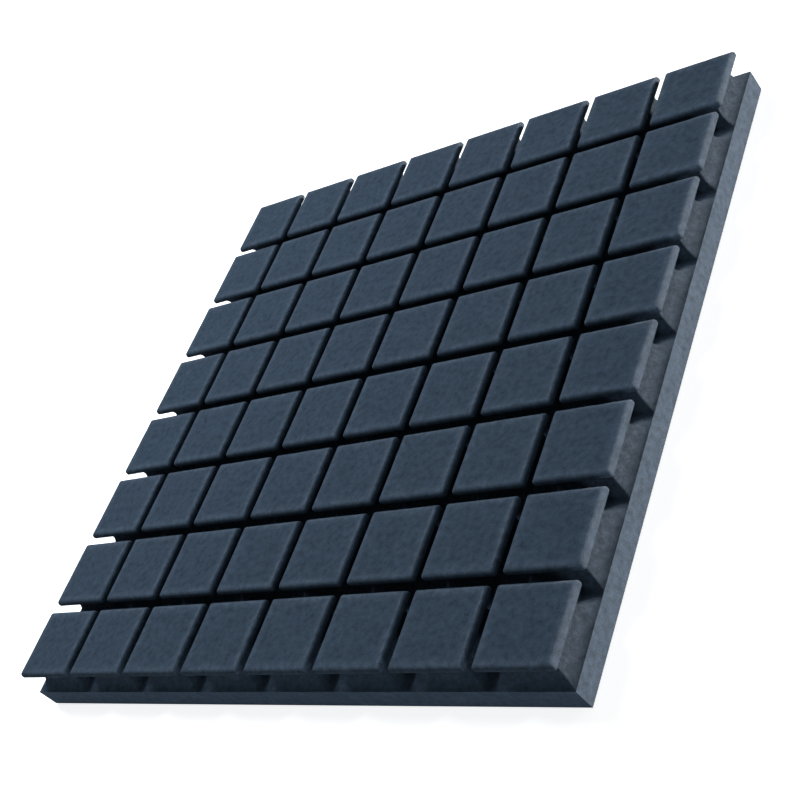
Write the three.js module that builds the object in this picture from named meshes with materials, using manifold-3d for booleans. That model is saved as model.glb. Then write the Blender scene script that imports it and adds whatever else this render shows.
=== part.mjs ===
// Acoustic foam panel.
//
// A square base slab carries a grid of flat-topped foam blocks. Grooves part the blocks: each
// groove is a narrow slot at the face that opens downwards into a wide round channel, so every
// block has a thin overhanging lip, a hollowed side and a broad foot. Half a groove runs round
// the panel's edge, above the side of the slab.
//
// Millimetres. The panel lies on its back: +Z points out of the block faces, rows of blocks run
// along X, and the origin is the centre of the flat back face.

import * as THREE from 'three';
import { mergeVertices } from 'three/addons/utils/BufferGeometryUtils.js';
import Module from 'manifold-3d';

const wasm = await Module();
wasm.setup();

// Grid of blocks
const blockPitch = 75; // from one groove's centre line to the next
const blocksPerSide = 8;

// Heights, from the flat back face
const panelThickness = 50;
const grooveFloorHeight = 22;
const footThickness = 6; // top layer of that floor, which each row of blocks carries

// Section of a groove
const slotWidth = 8;
const lipHeight = 5.2; // from the block's face down to the underside of its lip
const faceEdgeRadius = 3.5;
const channelFootGap = 4; // flat floor left between the feet of two neighbouring blocks

// Base slab
const slabEdgeInset = 2.5; // from the outermost groove centre line to the slab's side

// Finish of the arcs and of the cuts
const faceEdgeSteps = 3;
const channelSteps = 8;
const cutOverrun = 2;
const quarterTurn = 90; // degrees

// Foam colour, between the lit and the shaded sides
const foamColour = 0x33404f;
const foamRoughness = 0.95;
const foamMetalness = 0;

// Worked out from the sizes above
const gridHalf = (blocksPerSide * blockPitch) / 2;
const slabHalf = gridHalf - slabEdgeInset;
const slabThickness = grooveFloorHeight - footThickness;

function meshToSolid(geometry) {
  // A closed solid from a geometry, with shared corners merged.
  const plain = geometry.clone();
  plain.deleteAttribute('normal');
  plain.deleteAttribute('uv');
  const merged = mergeVertices(plain);
  const corners = {
    numProp: merged.attributes.position.itemSize,
    vertProperties: new Float32Array(merged.attributes.position.array),
    triVerts: new Uint32Array(merged.index.array),
  };
  return new wasm.Manifold(new wasm.Mesh(corners));
}

function solidToGeometry(solid) {
  // The geometry of a solid, with flat shading.
  const result = solid.getMesh();
  const geometry = new THREE.BufferGeometry();
  const positions = new THREE.BufferAttribute(new Float32Array(result.vertProperties), result.numProp);
  geometry.setAttribute('position', positions);
  geometry.setIndex(new THREE.BufferAttribute(new Uint32Array(result.triVerts), 1));
  geometry.computeVertexNormals();
  return geometry;
}

function box(low, high) {
  // A box between two corners.
  const size = new THREE.Vector3().subVectors(high, low);
  const centre = new THREE.Vector3().addVectors(low, high).divideScalar(2);
  const geometry = new THREE.BoxGeometry(size.x, size.y, size.z);
  geometry.translate(centre.x, centre.y, centre.z);
  return geometry;
}

function arcPoints(centre, radius, startAngle, endAngle, steps) {
  // Points on an arc, both ends included.
  const points = [];
  for (let step = 0; step <= steps; step += 1) {
    const angle = THREE.MathUtils.lerp(startAngle, endAngle, step / steps);
    const x = centre.x + radius * Math.cos(angle);
    const y = centre.y + radius * Math.sin(angle);
    points.push(new THREE.Vector2(x, y));
  }
  return points;
}

function grooveSideProfile() {
  // One side of the groove from its mouth down to its foot: x is the distance from the groove's
  // centre line and y the height above the back face.
  const slotSide = slotWidth / 2;
  const footSide = channelFootGap / 2;
  const edgeRadius = Math.min(faceEdgeRadius, lipHeight);

  // The channel's arc stands on the groove floor and ends under the edge of the lip.
  const channelHeight = panelThickness - lipHeight - grooveFloorHeight;
  const lipReach = slotSide - footSide;
  const channelRadius = (channelHeight ** 2 + lipReach ** 2) / (2 * channelHeight);
  const channelCentre = new THREE.Vector2(footSide, grooveFloorHeight + channelRadius);
  const lipAngle = Math.atan2(channelHeight - channelRadius, lipReach);

  const edgeCentre = new THREE.Vector2(slotSide + edgeRadius, panelThickness - edgeRadius);
  return [
    new THREE.Vector2(edgeCentre.x, panelThickness + cutOverrun),
    ...arcPoints(edgeCentre, edgeRadius, Math.PI / 2, Math.PI, faceEdgeSteps),
    ...arcPoints(channelCentre, channelRadius, lipAngle, -Math.PI / 2, channelSteps),
  ];
}

function grooveCutter(length) {
  // The space of one groove along Y, centred on its own centre line.
  const side = grooveSideProfile();
  const otherSide = side.map((point) => new THREE.Vector2(-point.x, point.y)).reverse();
  const section = new THREE.Shape([...side, ...otherSide]);
  const geometry = new THREE.ExtrudeGeometry(section, { depth: length, bevelEnabled: false });
  geometry.translate(0, 0, -length / 2);
  geometry.rotateX(Math.PI / 2);
  return meshToSolid(geometry);
}

function grooveLines() {
  // Places of the groove centre lines across the panel, the two at its edges included.
  return Array.from({ length: blocksPerSide + 1 }, (_, line) => line * blockPitch - gridHalf);
}

function blockRow(rowStart, rowEnd) {
  // One row of blocks on its foot strip. The strip ends at the centre lines of the grooves on
  // both sides of the row, or at the side of the slab.
  const low = new THREE.Vector3(-slabHalf, Math.max(rowStart, -slabHalf), slabThickness);
  const high = new THREE.Vector3(slabHalf, Math.min(rowEnd, slabHalf), panelThickness);
  const bar = meshToSolid(box(low, high));

  const acrossRow = grooveCutter(blockPitch + 2 * cutOverrun);
  const alongRow = grooveCutter(2 * (slabHalf + cutOverrun)).rotate([0, 0, quarterTurn]);
  const rowCentre = (rowStart + rowEnd) / 2;
  const cuts = [
    ...grooveLines().map((line) => acrossRow.translate([line, rowCentre, 0])),
    alongRow.translate([0, rowStart, 0]),
    alongRow.translate([0, rowEnd, 0]),
  ];
  const grooves = cuts.reduce((solid, cut) => solid.add(cut));
  return solidToGeometry(bar.subtract(grooves));
}

function foam() {
  return new THREE.MeshStandardMaterial({
    color: foamColour,
    roughness: foamRoughness,
    metalness: foamMetalness,
  });
}

const panel = new THREE.Group();

const slabLow = new THREE.Vector3(-slabHalf, -slabHalf, 0);
const slabHigh = new THREE.Vector3(slabHalf, slabHalf, slabThickness);
const baseSlab = new THREE.Mesh(box(slabLow, slabHigh), foam());
baseSlab.name = 'base_slab';
panel.add(baseSlab);

const lines = grooveLines();
for (let row = 0; row < blocksPerSide; row += 1) {
  const blocks = new THREE.Mesh(blockRow(lines[row], lines[row + 1]), foam());
  blocks.name = `block_row_${row + 1}`;
  panel.add(blocks);
}

export default panel;
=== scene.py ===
"""Looks of an acoustic foam panel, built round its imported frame.

The panel lies on its back, with +Z out of the faces of its blocks and the rows of blocks along X.
Every length is in metres, and the sizes that the frame gives are read from the frame.
"""

import logging
import math
from dataclasses import dataclass
from enum import Enum
from typing import ClassVar

import bpy
from bpy.types import ID, Material, Mesh, Node, NodeOutputs, NodeSocket, NodeTree, Object, World
from mathutils import Matrix, Vector


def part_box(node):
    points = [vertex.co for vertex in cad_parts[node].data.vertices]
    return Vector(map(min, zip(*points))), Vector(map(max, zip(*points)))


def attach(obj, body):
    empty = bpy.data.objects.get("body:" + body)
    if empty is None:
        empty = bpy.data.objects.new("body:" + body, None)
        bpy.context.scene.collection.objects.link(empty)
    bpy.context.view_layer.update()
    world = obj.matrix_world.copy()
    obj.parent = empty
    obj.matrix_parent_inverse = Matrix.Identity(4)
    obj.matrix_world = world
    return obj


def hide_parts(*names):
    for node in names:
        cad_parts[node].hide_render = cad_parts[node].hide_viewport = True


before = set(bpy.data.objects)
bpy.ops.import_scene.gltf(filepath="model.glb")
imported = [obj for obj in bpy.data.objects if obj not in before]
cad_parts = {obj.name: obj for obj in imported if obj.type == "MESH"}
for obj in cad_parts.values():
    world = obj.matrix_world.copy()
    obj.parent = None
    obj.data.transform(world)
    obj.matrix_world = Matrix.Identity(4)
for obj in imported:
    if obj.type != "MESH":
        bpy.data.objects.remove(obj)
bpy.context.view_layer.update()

MM = 0.001
BODY = "root"
SLAB_NODE = "base_slab"
ROW_PREFIX = "block_row_"

# The first and last rows end at the slab's sides, so an inner row gives the pitch
INNER_ROW_NODE = f"{ROW_PREFIX}2"

# Share of painted highlight along the blocks' edges, stored on each point
PAINTED_HIGHLIGHT_ATTRIBUTE = "painted_highlight"
# Share of painted shade under the lips, in the grooves and down the outer lips along Y
PAINTED_SHADE_ATTRIBUTE = "cut"

# Edges whose faces meet at more than this angle are shaded sharp
SHARP_ANGLE = math.radians(52)

# Middle of a Noise node's range
NOISE_MIDDLE = 0.5

# Numbers of a Mix node's colour sockets, which share their names with its other kinds
MIX_SHARE = 0
MIX_FIRST = 6
MIX_SECOND = 7
MIX_RESULT = 2

# Numbers of a Compare node's inputs for whole numbers
INTEGER_FIRST = 2
INTEGER_SECOND = 3

WHITE = (1.0, 1.0, 1.0, 1.0)

Point = tuple[float, float, float]
Colour = tuple[float, float, float]
GridStep = tuple[int, int]
Face = tuple[int, ...]

log = logging.getLogger("foam_panel")


class Zone(Enum):
    """Part of a block's skin, from the edge of its face down to the floor of the groove."""

    EDGE = "edge"
    LIP = "lip"
    CHANNEL = "channel"
    FLOOR = "floor"


class LampRole(Enum):
    """What a lamp lights: the faces from above, or one of the two sides that the camera sees."""

    TOP = "top"
    SIDE = "side"
    FRONT = "front"


class TreeBuilder:
    """Adds nodes and links to one node tree, for geometry or for shading."""

    def __init__(self, tree: NodeTree) -> None:
        """Keeps the tree.

        Args:
            tree: the node tree to fill.
        """
        self.tree = tree

    def sockets(self, kinds: dict[str, str], outward: bool = False) -> dict[str, str]:
        """Declares sockets of the tree's own interface.

        Args:
            kinds: kind of each socket by its name, such as Float or Geometry.
            outward: True for outputs.

        Returns:
            The sockets' identifiers by name.
        """
        side = "OUTPUT" if outward else "INPUT"
        add = self.tree.interface.new_socket
        return {
            name: add(name=name, in_out=side, socket_type=f"NodeSocket{kind}").identifier
            for name, kind in kinds.items()
        }

    def given(self) -> NodeOutputs:
        """Adds the tree's input node and returns its sockets."""
        return self.node("NodeGroupInput").outputs

    def node(self, kind: str, inputs: dict | None = None, **properties: object) -> Node:
        """Adds a node.

        Args:
            kind: Blender's node type.
            inputs: value or source socket for each input, by its name or number.
            properties: settings of the node itself.

        Returns:
            The new node.
        """
        node = self.tree.nodes.new(kind)
        for name, value in properties.items():
            setattr(node, name, value)
        for key, value in (inputs or {}).items():
            if isinstance(value, NodeSocket):
                self.tree.links.new(value, node.inputs[key])
            else:
                node.inputs[key].default_value = value
        return node

    def group(self, group: NodeTree, inputs: dict) -> Node:
        """Adds a node group of the tree's own kind.

        Args:
            group: the group.
            inputs: value or source socket for each input, by its name.

        Returns:
            The group's node.
        """
        kind = self.tree.bl_idname.replace("NodeTree", "NodeGroup")
        return self.node(kind, inputs, node_tree=group)

    def mixed(self, share: object, first: object, second: object) -> NodeSocket:
        """Adds a mix of two colours.

        Args:
            share: share of the second colour.
            first: first colour.
            second: second colour.

        Returns:
            The mixed colour.
        """
        inputs = {MIX_SHARE: share, MIX_FIRST: first, MIX_SECOND: second}
        return self.node("ShaderNodeMix", inputs, data_type="RGBA").outputs[MIX_RESULT]

    def math(self, operation: str, *values: object) -> NodeSocket:
        """Adds a Math node and returns its result.

        Args:
            operation: Blender's name of the operation.
            values: numbers or sockets, in order.

        Returns:
            The node's output socket.
        """
        node = self.node("ShaderNodeMath", dict(enumerate(values)), operation=operation)
        return node.outputs["Value"]

    def product(self, first: NodeSocket, *factors: object) -> NodeSocket:
        """Adds the product of several values.

        Args:
            first: first value.
            factors: numbers or sockets, in order.

        Returns:
            The product.
        """
        for factor in factors:
            first = self.math("MULTIPLY", first, factor)
        return first

    def scaled(self, vector: object, scale: object) -> NodeSocket:
        """Adds a vector times a number.

        Args:
            vector: vector socket.
            scale: number or socket.

        Returns:
            The scaled vector.
        """
        node = self.node("ShaderNodeVectorMath", {"Vector": vector, "Scale": scale}, operation="SCALE")
        return node.outputs["Vector"]

    def weighted(self, first: NodeSocket, second: NodeSocket, share: float) -> NodeSocket:
        """Adds the weighted sum of two values.

        Args:
            first: first value.
            second: second value.
            share: share of the first value.

        Returns:
            The sum.
        """
        part = self.math("MULTIPLY", first, share)
        return self.math("ADD", part, self.math("MULTIPLY", second, 1 - share))

    def axes(self) -> NodeOutputs:
        """Adds the place of each point and returns its X, Y and Z."""
        position = self.node("GeometryNodeInputPosition").outputs["Position"]
        return self.node("ShaderNodeSeparateXYZ", {"Vector": position}).outputs

    def averaged(self, value: NodeSocket, domain: str) -> NodeSocket:
        """Adds the average of a number over each face or point.

        Args:
            value: the number.
            domain: FACE or POINT.

        Returns:
            The average.
        """
        kinds = {"data_type": "FLOAT", "domain": domain}
        return self.node("GeometryNodeFieldOnDomain", {"Value": value}, **kinds).outputs["Value"]

    def ramp(self, value: object, low: object, high: object, start: float, end: float) -> NodeSocket:
        """Adds a clamped linear map.

        Args:
            value: what is mapped.
            low: value that gives start.
            high: value that gives end.
            start: result at low.
            end: result at high.

        Returns:
            The mapped value.
        """
        inputs = {"Value": value, "From Min": low, "From Max": high, "To Min": start, "To Max": end}
        return self.node("ShaderNodeMapRange", inputs, clamp=True).outputs["Result"]


def new_tree(name: str, kind: str) -> TreeBuilder:
    """Starts an empty node group.

    Args:
        name: name of the group.
        kind: GeometryNodeTree or ShaderNodeTree.

    Returns:
        A builder for the group.
    """
    return TreeBuilder(bpy.data.node_groups.new(name, kind))


def emptied_nodes(owner: Material | World) -> TreeBuilder:
    """Turns on the nodes of a material or a world and empties them.

    Args:
        owner: the material or world.

    Returns:
        A builder for its nodes.
    """
    owner.use_nodes = True
    owner.node_tree.nodes.clear()
    return TreeBuilder(owner.node_tree)


def arc(centre: Vector, radius: float, start: float, end: float, steps: int) -> list[Vector]:
    """Points on an arc of a section, both ends included.

    Args:
        centre: centre of the arc.
        radius: its radius.
        start: first angle.
        end: last angle.
        steps: number of steps.

    Returns:
        The points in order.
    """
    angles = [start + (end - start) * step / steps for step in range(steps + 1)]
    return [centre + radius * Vector((math.cos(angle), math.sin(angle))) for angle in angles]


def grid_faces(last: int, start: int = 0) -> list[Face]:
    """Upward faces of a square grid of points, which are numbered column by column.

    Args:
        last: number of the last column, and of the last row.
        start: number of the first point.

    Returns:
        The faces.
    """
    firsts = [start + column * (last + 1) + row for column in range(last) for row in range(last)]
    return [(first, first + last + 1, first + last + 2, first + 1) for first in firsts]


def ring_steps(last: int) -> list[GridStep]:
    """Outermost ring of a square grid, anticlockwise from its (+X, -Y) corner.

    Args:
        last: number of the last column, and of the last row.

    Returns:
        Column and row of each point.
    """
    right = [(last, step) for step in range(last)]
    back = [(last - step, last) for step in range(last)]
    left = [(0, last - step) for step in range(last)]
    front = [(step, 0) for step in range(last)]
    return right + back + left + front


def ring_numbers(last: int, start: int = 0) -> list[int]:
    """Point numbers of a grid's outermost ring, in the order of ring_steps."""
    return [start + column * (last + 1) + row for column, row in ring_steps(last)]


def ring_faces(above: list[int], below: list[int]) -> list[Face]:
    """Faces between two rings of points.

    Args:
        above: point numbers of the upper ring, anticlockwise from above.
        below: point numbers of the lower ring.

    Returns:
        The faces, pointing outwards.
    """
    after = above[1:] + above[:1]
    after_below = below[1:] + below[:1]
    return list(zip(above, below, after_below, after))


@dataclass(frozen=True)
class Station:
    """One ring of a block's skin: half its width, its height and the radius of its corners.

    The last two fields are the shares of painted highlight along its sides and at its corners.
    """

    half: float
    height: float
    corner: float
    painted_highlight: float
    arris: float


@dataclass(frozen=True)
class BlockShape:
    """One foam block with half of each groove round it. Its lengths follow the real section.

    A painted highlight reaches over the face's edge by rim_width inwards and by highlight_depth down.
    The stretch is the block's length along its row and across it, as factors on the even grid's.
    """

    pitch: float
    face_height: float
    slot_width: float = 8 * MM
    lip_height: float = 5.9 * MM
    floor_height: float = 22 * MM
    edge_radius: float = 3.5 * MM
    lip_radius: float = 1.6 * MM
    foot_gap: float = 4 * MM
    face_corner: float = 0.8 * MM
    lip_corner: float = 2.4 * MM
    arris_corner: float = 1.2 * MM
    rim_width: float = 5.5 * MM
    highlight_depth: float = 2.2 * MM
    stretch: tuple[float, float] = (1.016, 0.982)
    steps_per_side: int = 32
    corner_steps: int = 3
    edge_steps: int = 5
    lip_steps: int = 3
    channel_steps: int = 16
    floor_steps: int = 2

    # Share of painted highlight at the block's corners, by zone
    arris_highlight_shares: ClassVar[dict[Zone, float]] = {
        Zone.EDGE: 1.0,
        Zone.LIP: 0.8,
        Zone.CHANNEL: 0.2,
        Zone.FLOOR: 0.0,
    }

    def channel(self) -> tuple[Vector, float]:
        """Centre and radius of the round channel, on the section of one groove side.

        Returns:
            The centre, as distance from the groove's centre line and height, and the radius.
        """
        height = self.face_height - self.lip_height - self.floor_height
        reach = self.slot_width / 2 - self.foot_gap / 2
        radius = (height**2 + reach**2) / (2 * height)
        return Vector((self.foot_gap / 2, self.floor_height + radius)), radius

    def section(self) -> list[tuple[Vector, Zone]]:
        """Section of one groove side, from the edge of the face to the groove's centre line.

        Returns:
            Points, as distance from the groove's centre line and height, each with its zone.
        """
        slot_side = self.slot_width / 2
        edge_centre = Vector((slot_side + self.edge_radius, self.face_height - self.edge_radius))
        edge = arc(edge_centre, self.edge_radius, math.pi / 2, math.pi, self.edge_steps)
        centre, radius = self.channel()

        # The lip's lower edge is rounded with an arc that runs into the channel.
        reach = slot_side + self.lip_radius - centre.x
        rise = math.sqrt((radius + self.lip_radius) ** 2 - reach**2)
        lip_centre = centre + Vector((reach, rise))
        meeting = math.atan2(rise, reach)
        lip = arc(lip_centre, self.lip_radius, math.pi, math.pi + meeting, self.lip_steps)
        channel = arc(centre, radius, meeting, -math.pi / 2, self.channel_steps)
        floor = [
            Vector((self.foot_gap / 2 * (1 - step / self.floor_steps), self.floor_height))
            for step in range(1, self.floor_steps + 1)
        ]
        parts = (
            (edge, Zone.EDGE),
            (lip, Zone.LIP),
            (channel[1:], Zone.CHANNEL),
            (floor, Zone.FLOOR),
        )
        return [(point, zone) for points, zone in parts for point in points]

    def corner_radius(self, point: Vector, zone: Zone) -> float:
        """Radius of the block's corners in plan at one point of the section.

        Args:
            point: point of the section.
            zone: its zone.

        Returns:
            The radius.
        """
        if zone is Zone.EDGE:
            share = (self.face_height - point.y) / self.edge_radius
            return self.face_corner + (self.lip_corner - self.face_corner) * math.sqrt(max(share, 0))
        if zone is Zone.LIP:
            return self.lip_corner
        if zone is Zone.CHANNEL:
            depth = (self.face_height - self.lip_height - point.y) / self.lip_height
            return self.arris_corner + (self.lip_corner - self.arris_corner) * max(1 - depth, 0) ** 2
        return self.arris_corner * point.x / (self.foot_gap / 2)

    def stations(self) -> list[Station]:
        """Rings of the skin below the face.

        Returns:
            The rings in order, the first of them being the edge of the face.
        """
        return [
            Station(
                half=self.pitch / 2 - point.x,
                height=point.y,
                corner=self.corner_radius(point, zone),
                painted_highlight=max(1 - (self.face_height - point.y) / self.highlight_depth, 0.0),
                arris=self.arris_highlight_shares[zone],
            )
            for point, zone in self.section()
        ]

    def places(self, half: float) -> list[float]:
        """Places of the skin's lines along one side, closer together at the corners.

        Args:
            half: half of the side's length.

        Returns:
            The places, from -half to half.
        """
        straight = half - self.lip_corner
        steps = self.steps_per_side - 2 * self.corner_steps
        middle = [straight * (2 * step / steps - 1) for step in range(steps + 1)]
        turn = math.pi / 4 / self.corner_steps
        angles = [step * turn for step in range(1, self.corner_steps + 1)]
        ends = [straight + self.lip_corner * math.tan(angle) for angle in angles]
        return [-end for end in reversed(ends)] + middle + ends

    def rounded(self, x: float, y: float, corner: float) -> Vector:
        """A point of a square, moved so that the ring through it has round corners.

        Args:
            x: place along X.
            y: place along Y.
            corner: radius of the corners.

        Returns:
            The moved point in plan.
        """
        half = max(abs(x), abs(y))
        inner = half - corner
        core = Vector((min(max(x, -inner), inner), min(max(y, -inner), inner)))
        away = Vector((x, y)) - core
        return core + away.normalized() * corner if away.length > corner else Vector((x, y))

    def stretched(self, plan: Vector, height: float) -> Point:
        """A point of the skin, where the block is a little longer along its row than across it.

        Args:
            plan: the point in plan.
            height: its height.

        Returns:
            The point. Nothing moves at the floor of the groove, where blocks meet.
        """
        rise = (height - self.floor_height) / (self.face_height - self.lip_height - self.floor_height)
        share = min(rise, 1.0)
        along, across = (1 + (factor - 1) * share for factor in self.stretch)
        return plan.x * along, plan.y * across, height

    def skin(self) -> Mesh:
        """Open skin of one block, centred on the block's axis.

        Returns:
            A mesh with the share of painted highlight on each point.
        """
        stations = self.stations()
        last = self.steps_per_side
        half = stations[0].half
        places = self.places(half)
        points = []
        painted_highlight = []
        for x in places:
            for y in places:
                share = max(abs(x), abs(y)) / half
                plan = self.rounded(x, y, self.face_corner * share)
                points.append(self.stretched(plan, self.face_height))
                painted_highlight.append(stations[0].painted_highlight * max(1 - (1 - share) * half / self.rim_width, 0.0))

        faces = grid_faces(last)
        above = ring_numbers(last)
        for station in stations[1:]:
            places = self.places(station.half)
            below = []
            for column, row in ring_steps(last):
                plan = self.rounded(places[column], places[row], station.corner)
                at_corner = column in (0, last) and row in (0, last)
                below.append(len(points))
                points.append(self.stretched(plan, station.height))
                painted_highlight.append(max(station.painted_highlight, station.arris) if at_corner else station.painted_highlight)
            faces += ring_faces(above, below)
            above = below
        return highlighted_mesh("block_skin", points, faces, painted_highlight)


def highlighted_mesh(name: str, points: list[Point], faces: list[Face], painted_highlight: list[float]) -> Mesh:
    """Makes a mesh that carries a share of painted highlight on each point.

    Args:
        name: name of the mesh.
        points: places of the points.
        faces: point numbers of each face.
        painted_highlight: share of painted highlight of each point.

    Returns:
        The mesh.
    """
    mesh = bpy.data.meshes.new(name)
    mesh.from_pydata(points, [], faces)
    mesh.attributes.new(PAINTED_HIGHLIGHT_ATTRIBUTE, "FLOAT", "POINT").data.foreach_set("value", painted_highlight)
    return mesh


@dataclass(frozen=True)
class SurfaceWaves:
    """Slight unevenness of cut foam. It depends on place alone, so neighbouring pieces still meet."""

    height: float = 0.16 * MM
    size: float = 11 * MM
    flat_below: float = 1.5 * MM
    full_above: float = 5 * MM
    seed: float = 7.0
    detail: float = 2.0
    detail_share: float = 0.45

    kinds: ClassVar[dict[str, str]] = {"Wave Height": "Float", "Wave Size": "Float", "Seed": "Float"}

    def values(self) -> dict[str, float]:
        """Values of the waves' inputs by name."""
        return {"Wave Height": self.height, "Wave Size": self.size, "Seed": self.seed}

    def group(self) -> NodeTree:
        """Geometry node group that moves points by smooth noise, and leaves the back face flat.

        Returns:
            The node group.
        """
        build = new_tree("surface_waves", "GeometryNodeTree")
        build.sockets({"Geometry": "Geometry", **self.kinds})
        build.sockets({"Geometry": "Geometry"}, outward=True)
        given = build.given()
        noise = build.node(
            "ShaderNodeTexNoise",
            {
                "Vector": build.node("GeometryNodeInputPosition").outputs["Position"],
                "W": given["Seed"],
                "Scale": build.math("DIVIDE", 1.0, given["Wave Size"]),
                "Detail": self.detail,
                "Roughness": self.detail_share,
            },
            noise_dimensions="4D",
        )
        middle = (NOISE_MIDDLE, NOISE_MIDDLE, NOISE_MIDDLE)
        centred = build.node(
            "ShaderNodeVectorMath", {0: noise.outputs["Color"], 1: middle}, operation="SUBTRACT"
        ).outputs["Vector"]

        # Centred noise stays within NOISE_MIDDLE of zero, so it is scaled up to reach the height.
        share = build.ramp(build.axes()["Z"], self.flat_below, self.full_above, 0.0, 1.0)
        reach = build.product(given["Wave Height"], 1 / NOISE_MIDDLE, share)
        moved = build.node(
            "GeometryNodeSetPosition",
            {"Geometry": given["Geometry"], "Offset": build.scaled(centred, reach)},
        )
        build.node("NodeGroupOutput", {"Geometry": moved.outputs["Geometry"]})
        return build.tree


def foam_tree(name: str, kinds: dict[str, str]) -> tuple[TreeBuilder, dict[str, str]]:
    """Starts the tree of a foam piece.

    Args:
        name: name of the tree.
        kinds: kinds of its own inputs by name, the piece's skin first.

    Returns:
        Its builder, and the identifiers of all its inputs by name.
    """
    build = new_tree(name, "GeometryNodeTree")
    names = build.sockets({**kinds, **SurfaceWaves.kinds, "Foam": "Material"})
    build.sockets({"Piece": "Geometry"}, outward=True)
    return build, names


def finish_tree(build: TreeBuilder, given: NodeOutputs, group: NodeTree, geometry: NodeSocket) -> None:
    """Ends the tree of a foam piece with the shared unevenness and the foam.

    Args:
        build: builder of the tree.
        given: the tree's inputs.
        group: the shared group for the foam's unevenness.
        geometry: the piece.
    """
    inputs = {"Geometry": geometry, **{name: given[name] for name in SurfaceWaves.kinds}}
    waved = build.group(group, inputs).outputs["Geometry"]

    # The export drops instances, so none may be left.
    real = build.node("GeometryNodeRealizeInstances", {"Geometry": waved}).outputs["Geometry"]
    dressed = build.node("GeometryNodeSetMaterial", {"Geometry": real, "Material": given["Foam"]})
    build.node("NodeGroupOutput", {"Piece": dressed.outputs["Geometry"]})


@dataclass(frozen=True)
class Patches:
    """Uneven tone of the foam: the size of its patches and their strength."""

    size: float
    strength: float

    def factor(self, build: TreeBuilder, tree: NodeTree, places: NodeSocket) -> NodeSocket:
        """Adds the patches to a material.

        Args:
            build: builder of the material.
            tree: the shared group for uneven tone.
            places: places on the piece.

        Returns:
            A factor for the colour.
        """
        inputs = {"Vector": places, "Patch Size": self.size, "Strength": self.strength}
        return build.group(tree, inputs).outputs["Factor"]


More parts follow.
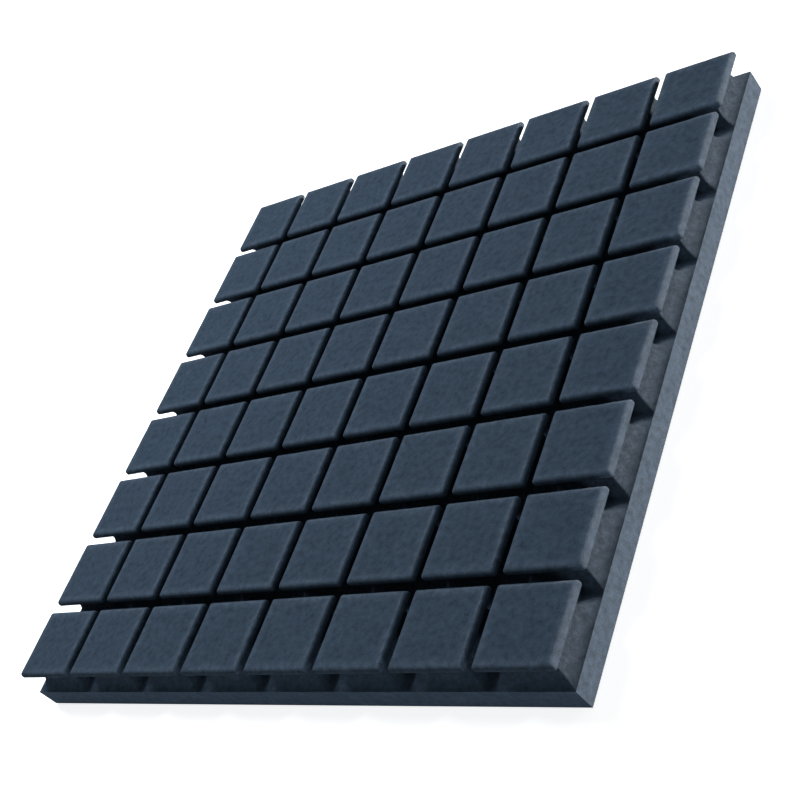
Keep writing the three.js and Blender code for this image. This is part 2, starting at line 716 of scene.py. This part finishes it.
@dataclass(frozen=True)
class FoamFinish:
    """Matt dark blue-grey open-cell foam, with a painted highlight on its edges and painted shade in
    grooves.

    Widths inside a cell are shares of the cell's size, and tones are factors on the foam's colour.
    """

    name: str = "acoustic_foam"
    base: Colour = (0.043, 0.064, 0.093)
    # Colour of the painted highlight on the edges
    highlight_colour: Colour = (0.072, 0.098, 0.134)
    cell_size: float = 0.95 * MM
    fine_cell_size: float = 0.5 * MM
    strut_widths: tuple[float, float] = (0.02, 0.3)
    bowl_width: float = 0.75
    bowl_rise: float = 0.4
    pore_tone: float = 0.66
    strut_tone: float = 1.3
    # Factor on the colour where the painted shade lies
    shade_tone: float = 0.54
    coarse_strut_share: float = 0.6
    coarse_height_share: float = 0.7
    mottle: Patches = Patches(5.5 * MM, 0.95)
    clouds: Patches = Patches(15 * MM, 0.38)
    # Grain of the foam where the painted shade lies
    groove_grain: Patches = Patches(2.6 * MM, 1.5)
    patch_detail: float = 2.0
    patch_detail_share: float = 0.55
    # Strength of the painted highlight on the edges, and how noise breaks it up
    highlight_strength: float = 0.85
    highlight_patch_size: float = 4.4 * MM
    highlight_detail: float = 3.0
    highlight_noise: tuple[float, float] = (0.3, 0.7)
    least_highlight: float = 0.55
    roughness: float = 0.97
    specular: float = 0.06
    bump_depth: float = 0.35 * MM
    bump_strength: float = 0.75

    def cells_group(self) -> NodeTree:
        """Shader group for open cells: struts stand high and light, pores lie low and dark.

        Returns:
            The node group, with the struts' height and their share as outputs.
        """
        build = new_tree("foam_cells", "ShaderNodeTree")
        build.sockets({"Vector": "Vector", "Cell Size": "Float"})
        build.sockets({"Height": "Float", "Struts": "Float"}, outward=True)
        given = build.given()
        places = build.scaled(given["Vector"], build.math("DIVIDE", 1.0, given["Cell Size"]))
        cells = {"Vector": places, "Scale": 1.0}
        walls = build.node("ShaderNodeTexVoronoi", cells, feature="DISTANCE_TO_EDGE")
        struts = build.ramp(walls.outputs["Distance"], *self.strut_widths, 1.0, 0.0)
        middles = build.node("ShaderNodeTexVoronoi", cells, feature="F1")
        bowl = build.ramp(middles.outputs["Distance"], 0.0, self.bowl_width, 0.0, self.bowl_rise)
        height = build.math("ADD", struts, bowl)
        build.node("NodeGroupOutput", {"Height": height, "Struts": struts})
        return build.tree

    def patches_group(self) -> NodeTree:
        """Shader group for uneven tone: a factor round 1 that colours are multiplied by.

        Returns:
            The node group.
        """
        build = new_tree("foam_patches", "ShaderNodeTree")
        build.sockets({"Vector": "Vector", "Patch Size": "Float", "Strength": "Float"})
        build.sockets({"Factor": "Float"}, outward=True)
        given = build.given()
        noise = build.node(
            "ShaderNodeTexNoise",
            {
                "Vector": given["Vector"],
                "Scale": build.math("DIVIDE", 1.0, given["Patch Size"]),
                "Detail": self.patch_detail,
                "Roughness": self.patch_detail_share,
            },
        ).outputs["Fac"]
        centred = build.math("SUBTRACT", noise, NOISE_MIDDLE)
        factor = build.math("MULTIPLY_ADD", centred, given["Strength"], 1.0)
        build.node("NodeGroupOutput", {"Factor": factor})
        return build.tree

    def highlight_group(self) -> NodeTree:
        """Shader group that breaks up the share of painted highlight stored on the mesh.

        Returns:
            The node group.
        """
        build = new_tree("painted_edge_highlight", "ShaderNodeTree")
        build.sockets({"Vector": "Vector", "Painted Highlight": "Float", "Patch Size": "Float"})
        build.sockets({"Mask": "Float"}, outward=True)
        given = build.given()
        scale = build.math("DIVIDE", 1.0, given["Patch Size"])
        inputs = {"Vector": given["Vector"], "Scale": scale, "Detail": self.highlight_detail}
        noise = build.node("ShaderNodeTexNoise", inputs).outputs["Fac"]
        broken = build.ramp(noise, *self.highlight_noise, self.least_highlight, 1.0)
        build.node("NodeGroupOutput", {"Mask": build.math("MULTIPLY", given["Painted Highlight"], broken)})
        return build.tree

    def tone(self, build: TreeBuilder, places: NodeSocket, struts: NodeSocket) -> NodeSocket:
        """Adds the tone of the foam: its cells and patches, and the painted shade that darkens the
        grooves.

        Args:
            build: builder of the material.
            places: places on the piece.
            struts: share of struts.

        Returns:
            The tone.
        """
        tree = self.patches_group()
        mottle, clouds, grain = (
            patches.factor(build, tree, places)
            for patches in (self.mottle, self.clouds, self.groove_grain)
        )
        # Share of painted shade that the rows carry
        cut = build.node("ShaderNodeAttribute", attribute_name=PAINTED_SHADE_ATTRIBUTE).outputs["Fac"]
        cells = build.ramp(struts, 0.0, 1.0, self.pore_tone, self.strut_tone)
        shade = build.ramp(cut, 0.0, 1.0, 1.0, self.shade_tone)
        grained = build.math("MULTIPLY_ADD", build.math("SUBTRACT", grain, 1.0), cut, 1.0)
        return build.product(cells, mottle, clouds, shade, grained)

    def material(self) -> Material:
        """Makes the foam.

        Returns:
            The material.
        """
        material = bpy.data.materials.new(self.name)
        material.diffuse_color = (*self.base, 1.0)
        build = emptied_nodes(material)
        places = build.node("ShaderNodeTexCoord").outputs["Object"]

        tree = self.cells_group()
        coarse, fine = (
            build.group(tree, {"Vector": places, "Cell Size": size}).outputs
            for size in (self.cell_size, self.fine_cell_size)
        )
        struts = build.weighted(coarse["Struts"], fine["Struts"], self.coarse_strut_share)
        height = build.weighted(coarse["Height"], fine["Height"], self.coarse_height_share)

        # Painted highlight on the edges, mixed into the foam's colour
        painted_highlight = build.node("ShaderNodeAttribute", attribute_name=PAINTED_HIGHLIGHT_ATTRIBUTE).outputs["Fac"]
        inputs = {"Vector": places, "Painted Highlight": painted_highlight, "Patch Size": self.highlight_patch_size}
        mask = build.group(self.highlight_group(), inputs).outputs["Mask"]
        highlight_amount = build.math("MULTIPLY", mask, self.highlight_strength)
        colour = build.mixed(highlight_amount, (*self.base, 1.0), (*self.highlight_colour, 1.0))

        inputs = {"Height": height, "Strength": self.bump_strength, "Distance": self.bump_depth}
        bump = build.node("ShaderNodeBump", inputs)
        shader = build.node(
            "ShaderNodeBsdfPrincipled",
            {
                "Base Color": build.scaled(colour, self.tone(build, places, struts)),
                "Roughness": self.roughness,
                "Specular IOR Level": self.specular,
                "Normal": bump.outputs["Normal"],
            },
        )
        build.node("ShaderNodeOutputMaterial", {"Surface": shader.outputs["BSDF"]})
        return material


@dataclass(frozen=True)
class BlockRows:
    """The rows of blocks. Each row is one closed piece: its blocks and the foot strip below them.

    Painted shade is laid from mark_rise above the lip's underside down. It is lifted again up to
    shade_lift_rise high on the foot of the half groove round the panel, band_width wide and fading over
    band_fade more. A surface starts to count as the side of a lip, which takes painted shade, where
    the Y of its normal reaches the first of side_slopes, and counts fully from the second.
    """

    shape: BlockShape
    waves: SurfaceWaves
    blocks: int
    slab_half: float
    foot_height: float
    merge_distance: float = 0.05 * MM
    wall_steps: int = 2
    least_area: float = 0.001 * MM**2
    mark_margin: float = 0.3 * MM
    mark_rise: float = 2.0 * MM
    shade_lift_rise: float = 9 * MM
    band_width: float = 12 * MM
    band_fade: float = 6 * MM
    shade_lift_share: float = 0.85
    side_slopes: tuple[float, float] = (0.45, 0.8)

    def tree(self, waves_group: NodeTree) -> tuple[NodeTree, dict[str, str]]:
        """Geometry node tree that turns the skin of one block into a closed row of blocks.

        Args:
            waves_group: the shared group for the foam's unevenness.

        Returns:
            The tree, and the identifiers of its inputs by name.
        """
        build, names = foam_tree(
            "block_row",
            {
                "Block Skin": "Geometry",
                "Blocks": "Int",
                "Pitch": "Float",
                "Row Place": "Float",
                "Slab Half": "Float",
                "Foot Height": "Float",
                "Wall Step": "Float",
                "Channel Low": "Float",
                "Channel High": "Float",
            },
        )
        given = build.given()

        # Blocks along X, one pitch apart and centred on the panel
        gaps = build.math("SUBTRACT", given["Blocks"], 1.0)
        length = build.math("MULTIPLY", gaps, given["Pitch"])
        first = build.math("DIVIDE", length, -2.0)
        start = build.node("ShaderNodeCombineXYZ", {"X": first, "Y": given["Row Place"]})
        step = build.node("ShaderNodeCombineXYZ", {"X": given["Pitch"]})
        line = build.node(
            "GeometryNodeMeshLine",
            {
                "Count": given["Blocks"],
                "Start Location": start.outputs["Vector"],
                "Offset": step.outputs["Vector"],
            },
            mode="OFFSET",
        )
        placed = build.node(
            "GeometryNodeInstanceOnPoints",
            {"Points": line.outputs["Mesh"], "Instance": given["Block Skin"]},
        )
        real = build.node("GeometryNodeRealizeInstances", {"Geometry": placed.outputs["Instances"]})

        trimmed = self.trimmed(build, real.outputs["Geometry"], given["Slab Half"])
        walled, rim = self.walled(build, self.merged(build, trimmed), given["Wall Step"])
        closed = self.closed(build, walled, rim, given["Foot Height"])
        shade_painted = self.shade_painted(build, closed, given["Channel Low"], given["Channel High"])
        finish_tree(build, given, waves_group, shade_painted)
        return build.tree, names

    def trimmed(self, build: TreeBuilder, geometry: NodeSocket, half: NodeSocket) -> NodeSocket:
        """Pulls what lies past the slab's sides back onto them.

        Args:
            build: builder of the tree.
            geometry: the blocks.
            half: half of the slab's width.

        Returns:
            The trimmed geometry.
        """
        axes = build.axes()
        limits = {"Min": build.math("MULTIPLY", half, -1.0), "Max": half}
        held = {
            axis: build.node("ShaderNodeClamp", {"Value": axes[axis], **limits}).outputs["Result"]
            for axis in ("X", "Y")
        }
        place = build.node("ShaderNodeCombineXYZ", {**held, "Z": axes["Z"]}).outputs["Vector"]
        moved = build.node("GeometryNodeSetPosition", {"Geometry": geometry, "Position": place})

        # Faces that lay wholly past a side have shrunk to a line.
        area = build.node("GeometryNodeInputMeshFaceArea").outputs["Area"]
        shrunk = build.math("LESS_THAN", area, self.least_area)
        inputs = {"Geometry": moved.outputs["Geometry"], "Selection": shrunk}
        return build.node("GeometryNodeDeleteGeometry", inputs, domain="FACE").outputs["Geometry"]

    def merged(self, build: TreeBuilder, geometry: NodeSocket) -> NodeSocket:
        """Joins points that lie together."""
        inputs = {"Geometry": geometry, "Distance": self.merge_distance}
        return build.node("GeometryNodeMergeByDistance", inputs).outputs["Geometry"]

    def walled(
        self,
        build: TreeBuilder,
        geometry: NodeSocket,
        step: NodeSocket,
    ) -> tuple[NodeSocket, NodeSocket]:
        """Draws the open rim down into the walls of the foot strip.

        Args:
            build: builder of the tree.
            geometry: the open skin of the row.
            step: height of each ring of faces.

        Returns:
            The geometry and the selection of its new rim.
        """
        # The rim's edges have one face each.
        faces = build.node("GeometryNodeInputMeshEdgeNeighbors").outputs["Face Count"]
        inputs = {INTEGER_FIRST: faces, INTEGER_SECOND: 1}
        compared = build.node("FunctionNodeCompare", inputs, data_type="INT", operation="EQUAL")
        rim = compared.outputs["Result"]
        down = build.node("ShaderNodeCombineXYZ", {"Z": build.math("MULTIPLY", step, -1.0)})
        offset = {"Offset": down.outputs["Vector"], "Offset Scale": 1.0}
        for _ in range(self.wall_steps):
            inputs = {"Mesh": geometry, "Selection": rim, **offset}
            drawn = build.node("GeometryNodeExtrudeMesh", inputs, mode="EDGES").outputs
            geometry, rim = drawn["Mesh"], drawn["Top"]
        return geometry, rim

    def closed(
        self,
        build: TreeBuilder,
        geometry: NodeSocket,
        rim: NodeSocket,
        height: NodeSocket,
    ) -> NodeSocket:
        """Closes the foot strip with a flat underside.

        Args:
            build: builder of the tree.
            geometry: the walled row.
            rim: selection of the rim's edges.
            height: height of the underside.

        Returns:
            The closed geometry.
        """
        loop = build.node("GeometryNodeMeshToCurve", {"Mesh": geometry, "Selection": rim})
        flat = build.node("GeometryNodeFillCurve", {"Curve": loop.outputs["Curve"]}, mode="TRIANGLES")
        turned = build.node("GeometryNodeFlipFaces", {"Mesh": flat.outputs["Mesh"]})
        axes = build.axes()
        place = build.node("ShaderNodeCombineXYZ", {"X": axes["X"], "Y": axes["Y"], "Z": height})
        inputs = {"Geometry": turned.outputs["Mesh"], "Position": place.outputs["Vector"]}
        lowered = build.node("GeometryNodeSetPosition", inputs)
        both = build.node("GeometryNodeJoinGeometry")
        build.tree.links.new(geometry, both.inputs["Geometry"])
        build.tree.links.new(lowered.outputs["Geometry"], both.inputs["Geometry"])
        return self.merged(build, both.outputs["Geometry"])

    def shade_painted(
        self,
        build: TreeBuilder,
        geometry: NodeSocket,
        low: NodeSocket,
        high: NodeSocket,
    ) -> NodeSocket:
        """Stores the painted shade of the grooves: from none at the face to all of it under the lip.

        The painted shade is lifted again on the foot of the half groove round the panel, for a lighter
        foot. The outermost lips along the rows take painted shade down their sides too.

        Args:
            build: builder of the tree.
            geometry: the closed row.
            low: height of the grooves' floor, with the walls of the foot strip below it.
            high: height of the lip's underside.

        Returns:
            The geometry with the share of painted shade on the corners of its faces.
        """
        axes = build.axes()
        height = axes["Z"]
        limit = build.math("SUBTRACT", low, self.mark_margin)
        groove = build.math("GREATER_THAN", build.averaged(height, "FACE"), limit)
        under_lip = build.ramp(height, build.math("ADD", high, self.mark_rise), high, 0.0, 1.0)

        # The painted shade is lifted on the foot of the outer half groove, for a lighter foot
        along, across = (build.math("ABSOLUTE", axes[axis]) for axis in ("X", "Y"))
        reach = build.math("MAXIMUM", along, across)
        band_edge = self.slab_half - self.band_width
        outer = build.ramp(reach, band_edge - self.band_fade, band_edge, 0.0, self.shade_lift_share)
        foot = build.ramp(height, low, build.math("ADD", low, self.shade_lift_rise), 1.0, 0.0)
        shade_kept = build.math("SUBTRACT", 1.0, build.math("MULTIPLY", outer, foot))
        channel = build.math("MULTIPLY", under_lip, shade_kept)

        # Painted shade down the sides of the outermost lips that face along Y
        normal = build.node("GeometryNodeInputNormal").outputs["Normal"]
        faced = build.node("ShaderNodeSeparateXYZ", {"Vector": normal}).outputs["Y"]
        turned = build.averaged(build.math("ABSOLUTE", faced), "POINT")
        slope = build.ramp(turned, *self.side_slopes, 0.0, 1.0)
        rim = build.ramp(across, band_edge - self.band_fade, band_edge, 0.0, 1.0)
        lip = build.ramp(height, build.math("SUBTRACT", high, self.mark_rise), high, 0.0, 1.0)
        side = build.product(slope, rim, lip)
        share = build.product(build.math("MAXIMUM", channel, side), groove)
        inputs = {"Geometry": geometry, "Name": PAINTED_SHADE_ATTRIBUTE, "Value": share}
        node = build.node("GeometryNodeStoreNamedAttribute", inputs, data_type="FLOAT", domain="CORNER")
        return node.outputs["Geometry"]

    def build(self, waves_group: NodeTree, foam: Material) -> list[Object]:
        """Builds every row as one plain mesh.

        Args:
            waves_group: the shared group for the foam's unevenness.
            foam: the finish.

        Returns:
            One object for each row, from -Y to +Y.
        """
        tree, names = self.tree(waves_group)
        shape = self.shape
        skin = shape.skin()
        values = {
            "Blocks": self.blocks,
            "Pitch": shape.pitch,
            "Slab Half": self.slab_half,
            "Foot Height": self.foot_height,
            "Wall Step": (shape.floor_height - self.foot_height) / self.wall_steps,
            "Channel Low": shape.floor_height,
            "Channel High": shape.face_height - shape.lip_height,
            "Foam": foam,
            **self.waves.values(),
        }
        rows = []
        for number in range(1, self.blocks + 1):
            place = (number - (self.blocks + 1) / 2) * shape.pitch
            row = new_object(f"foam_blocks_{number}", skin)
            run_tree(row, tree, names, {**values, "Row Place": place})
            rows.append(settle(row, f"{ROW_PREFIX}{number}"))
        return rows


@dataclass(frozen=True)
class BaseSlab:
    """The plain slab below the rows. Its sides carry on those of the rows, point for point."""

    shape: BlockShape
    waves: SurfaceWaves
    blocks: int
    half: float
    top: float
    lower_edge_radius: float = 1.2 * MM
    lower_edge_steps: int = 3
    side_steps: int = 4
    stride: int = 2

    def places(self) -> list[float]:
        """Places of the slab's lines along one side: every second one of the blocks' own lines.

        Returns:
            The places, from one side of the slab to the other.
        """
        foot = self.shape.places((self.shape.pitch - self.shape.foot_gap) / 2)[:: self.stride]
        block = [-self.shape.pitch / 2, *foot]
        centres = [(number - (self.blocks - 1) / 2) * self.shape.pitch for number in range(self.blocks)]
        inner = [centre + place for centre in centres for place in block]
        reach = self.half - self.shape.foot_gap / 2
        return [-self.half, *(place for place in inner if abs(place) < reach), self.half]

    def levels(self) -> list[tuple[float, float]]:
        """Height of each ring of the sides and its distance inside them, from the top down.

        Returns:
            Height and inset of each ring.
        """
        straight = self.top - self.lower_edge_radius
        steps = range(self.side_steps + 1)
        sides = [(self.top - straight * step / self.side_steps, 0.0) for step in steps]
        centre = Vector((self.lower_edge_radius, self.lower_edge_radius))
        edge = arc(centre, self.lower_edge_radius, math.pi, math.pi * 3 / 2, self.lower_edge_steps)
        return sides + [(point.y, point.x) for point in edge[1:]]

    def layer(self, steps: list[GridStep], height: float, inset: float) -> list[Point]:
        """Points of the slab at one height.

        Args:
            steps: column and row of each point.
            height: their height.
            inset: how far inside the slab's sides the outermost of them lie.

        Returns:
            The points.
        """
        places = self.places()
        share = 1 - inset / self.half
        return [(places[column] * share, places[row] * share, height) for column, row in steps]

    def mesh(self) -> Mesh:
        """Closed mesh of the slab, before its unevenness.

        Returns:
            The mesh.
        """
        last = len(self.places()) - 1
        grid = [(column, row) for column in range(last + 1) for row in range(last + 1)]
        top, *sides, bottom = self.levels()
        points = self.layer(grid, *top)
        faces = grid_faces(last)
        above = ring_numbers(last)
        for level in sides:
            below = [len(points) + step for step in range(len(above))]
            points += self.layer(ring_steps(last), *level)
            faces += ring_faces(above, below)
            above = below
        start = len(points)
        points += self.layer(grid, *bottom)
        faces += [face[::-1] for face in grid_faces(last, start)]
        faces += ring_faces(above, ring_numbers(last, start))
        return highlighted_mesh("slab_skin", points, faces, [0.0] * len(points))

    def build(self, waves_group: NodeTree, foam: Material) -> Object:
        """Builds the slab as one plain mesh.

        Args:
            waves_group: the shared group for the foam's unevenness.
            foam: the finish.

        Returns:
            The slab.
        """
        build, names = foam_tree("base_slab", {"Slab": "Geometry"})
        given = build.given()
        finish_tree(build, given, waves_group, given["Slab"])
        slab = new_object("foam_slab", self.mesh())
        run_tree(slab, build.tree, names, {"Foam": foam, **self.waves.values()})
        return settle(slab, SLAB_NODE)


def new_object(name: str, data: ID | None) -> Object:
    """Adds an object to the scene.

    Args:
        name: name of the object.
        data: its mesh, lamp or camera.

    Returns:
        The object.
    """
    thing = bpy.data.objects.new(name, data)
    bpy.context.scene.collection.objects.link(thing)
    return thing


def run_tree(piece: Object, tree: NodeTree, names: dict[str, str], values: dict[str, object]) -> None:
    """Runs a geometry node tree on a piece and keeps its result as a plain mesh.

    Args:
        piece: the piece.
        tree: the tree.
        names: identifiers of the tree's inputs by name.
        values: values of the inputs by name.
    """
    modifier = piece.modifiers.new(tree.name, "NODES")
    modifier.node_group = tree
    for name, value in values.items():
        modifier[names[name]] = value
    graph = bpy.context.evaluated_depsgraph_get()
    mesh = bpy.data.meshes.new_from_object(
        piece.evaluated_get(graph), preserve_all_data_layers=True, depsgraph=graph
    )
    piece.modifiers.remove(modifier)
    mesh.name = piece.name
    piece.data = mesh


def settle(piece: Object, node: str) -> Object:
    """Shades a foam piece and hands it to the frame in place of its node.

    Args:
        piece: the finished piece.
        node: name of the node that it stands for.

    Returns:
        The piece.
    """
    piece.data.shade_smooth()
    piece.data.set_sharp_from_angle(angle=SHARP_ANGLE)
    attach(piece, BODY)
    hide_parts(node)
    log.info("%s stands for %s with %d faces", piece.name, node, len(piece.data.polygons))
    return piece


@dataclass(frozen=True)
class Lamp:
    """A soft lamp that looks at the centre of the panel's back.

    Its azimuth is counted from +X to +Y and its elevation from the floor, both in degrees.
    """

    role: LampRole
    azimuth: float
    elevation: float
    distance: float
    width: float
    height: float
    watts: float
    colour: Colour

    def build(self) -> Object:
        """Adds the lamp.

        Returns:
            The lamp, in place and turned to the panel.
        """
        data = bpy.data.lights.new(f"{self.role.value}_lamp", "AREA")
        data.shape = "RECTANGLE"
        data.size = self.width
        data.size_y = self.height
        data.energy = self.watts
        data.color = self.colour
        lamp = new_object(data.name, data)
        azimuth = math.radians(self.azimuth)
        elevation = math.radians(self.elevation)
        flat = math.cos(elevation)
        towards = Vector((flat * math.cos(azimuth), flat * math.sin(azimuth), math.sin(elevation)))
        lamp.rotation_mode = "QUATERNION"
        lamp.rotation_quaternion = towards.to_track_quat("Z", "Y")
        lamp.location = towards * self.distance
        lamp.visible_camera = False
        return lamp


@dataclass(frozen=True)
class Studio:
    """Pale floor, white surroundings and plain soft light."""

    lamps: tuple[Lamp, ...] = (
        Lamp(
            role=LampRole.TOP,
            azimuth=148.0,
            elevation=58.0,
            distance=2.02,
            width=0.85,
            height=0.85,
            watts=38.0,
            colour=(0.88, 0.94, 1.0),
        ),
        Lamp(
            role=LampRole.SIDE,
            azimuth=36.0,
            elevation=0.9,
            distance=4.0,
            width=0.6,
            height=0.1,
            watts=465.0,
            colour=(0.98, 0.81, 0.69),
        ),
        Lamp(
            role=LampRole.FRONT,
            azimuth=-45.0,
            elevation=0.9,
            distance=4.0,
            width=0.6,
            height=0.1,
            watts=42.0,
            colour=(0.9, 0.95, 1.0),
        ),
    )
    sky: Colour = (0.82, 0.95, 1.0)
    sky_strength: float = 0.18
    floor_half: float = 30.0
    floor_gap: float = 0.2 * MM
    floor_tone: float = 0.85
    floor_glow: float = 0.8

    def seen_directly(self, build: TreeBuilder) -> NodeSocket:
        """Adds a mask of the rays that show the surroundings: camera, glossy and transmission rays.

        Args:
            build: builder of the material or world.

        Returns:
            The mask.
        """
        rays = build.node("ShaderNodeLightPath").outputs
        shown = build.math("MAXIMUM", rays["Is Camera Ray"], rays["Is Glossy Ray"])
        return build.math("MAXIMUM", shown, rays["Is Transmission Ray"])

    def world(self) -> World:
        """Makes the world: white where it is seen, a dim cool sky where it only lights.

        Returns:
            The world.
        """
        world = bpy.data.worlds.new("surroundings")
        build = emptied_nodes(world)
        inputs = {"Color": (*self.sky, 1.0), "Strength": self.sky_strength}
        sky = build.node("ShaderNodeBackground", inputs)
        white = build.node("ShaderNodeBackground", {"Color": WHITE, "Strength": 1.0})

        # By number, because the inputs for the two shaders share one name
        shown = self.seen_directly(build)
        inputs = {0: shown, 1: sky.outputs["Background"], 2: white.outputs["Background"]}
        mix = build.node("ShaderNodeMixShader", inputs)
        build.node("ShaderNodeOutputWorld", {"Surface": mix.outputs["Shader"]})
        bpy.context.scene.world = world
        return world

    def floor(self) -> Object:
        """Makes the floor, which keeps a faint shadow of the panel.

        Returns:
            The floor.
        """
        corners = [
            (x * self.floor_half, y * self.floor_half, -self.floor_gap)
            for x, y in ((-1, -1), (1, -1), (1, 1), (-1, 1))
        ]
        mesh = bpy.data.meshes.new("floor")
        mesh.from_pydata(corners, [], [(0, 1, 2, 3)])
        material = bpy.data.materials.new("pale_floor")
        build = emptied_nodes(material)
        tone = (self.floor_tone, self.floor_tone, self.floor_tone, 1.0)
        matt = build.node("ShaderNodeBsdfDiffuse", {"Color": tone})
        strength = build.math("MULTIPLY", self.seen_directly(build), self.floor_glow)
        glow = build.node("ShaderNodeEmission", {"Color": WHITE, "Strength": strength})
        both = build.node("ShaderNodeAddShader", {0: matt.outputs["BSDF"], 1: glow.outputs["Emission"]})
        build.node("ShaderNodeOutputMaterial", {"Surface": both.outputs["Shader"]})
        mesh.materials.append(material)
        floor = new_object("floor", mesh)
        return floor

    def build(self) -> None:
        """Builds the world, the floor and the lamps."""
        self.world()
        self.floor()
        for lamp in self.lamps:
            light = lamp.build()
            log.info("%s at azimuth %.0f and elevation %.0f", light.name, lamp.azimuth, lamp.elevation)


@dataclass(frozen=True)
class PhotoCamera:
    """Camera at the photograph's viewing angle, rolled about its own axis.

    The roll is in degrees. The lens and the sensor are in millimetres, as Blender has them.
    """

    place: Point = (0.82908, -0.65924, 0.68978)
    aim: Point = (0.05880, -0.04126, 0.05000)
    roll: float = 44.48
    lens: float = 63.435
    sensor: float = 36.0

    def build(self) -> Object:
        """Adds the camera and makes it the scene's own.

        Returns:
            The camera.
        """
        data = bpy.data.cameras.new("photo_camera")
        data.lens = self.lens
        data.sensor_fit = "HORIZONTAL"
        data.sensor_width = self.sensor
        camera = new_object(data.name, data)
        place = Vector(self.place)
        forward = (Vector(self.aim) - place).normalized()
        level_right = forward.cross(Vector((0, 0, 1))).normalized()
        level_up = level_right.cross(forward)
        turn = math.radians(self.roll)
        right = level_right * math.cos(turn) - level_up * math.sin(turn)
        up = level_up * math.cos(turn) + level_right * math.sin(turn)
        basis = Matrix((right, up, -forward)).transposed().to_4x4()
        camera.matrix_world = Matrix.Translation(place) @ basis
        bpy.context.scene.camera = camera
        return camera


@dataclass(frozen=True)
class FoamPanel:
    """The whole panel: its slab, its rows of blocks and their shared foam."""

    pitch: float
    face_height: float
    foot_height: float
    slab_half: float
    slab_top: float
    finish: FoamFinish = FoamFinish()
    waves: SurfaceWaves = SurfaceWaves()

    @classmethod
    def from_frame(cls) -> "FoamPanel":
        """Reads the panel's sizes from the frame.

        Returns:
            The panel.
        """
        row_low, row_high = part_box(INNER_ROW_NODE)
        slab_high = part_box(SLAB_NODE)[1]
        return cls(
            pitch=row_high.y - row_low.y,
            face_height=row_high.z,
            foot_height=row_low.z,
            slab_half=slab_high.x,
            slab_top=slab_high.z,
        )

    def build(self) -> list[Object]:
        """Builds every piece of the panel.

        Returns:
            The pieces.
        """
        blocks = round(2 * self.slab_half / self.pitch)
        shape = BlockShape(pitch=self.pitch, face_height=self.face_height)
        foam = self.finish.material()
        waves_group = self.waves.group()
        slab = BaseSlab(shape, self.waves, blocks, self.slab_half, self.slab_top)
        rows = BlockRows(shape, self.waves, blocks, self.slab_half, self.foot_height)
        return [slab.build(waves_group, foam), *rows.build(waves_group, foam)]


def main() -> None:
    """Builds the panel, its studio and its camera."""
    logging.basicConfig(level=logging.INFO, format="%(name)s: %(message)s")
    bpy.context.scene.view_settings.view_transform = "Standard"
    PhotoCamera().build()
    pieces = FoamPanel.from_frame().build()
    Studio().build()
    log.info("%d pieces built", len(pieces))


if __name__ == "__main__":
    main()
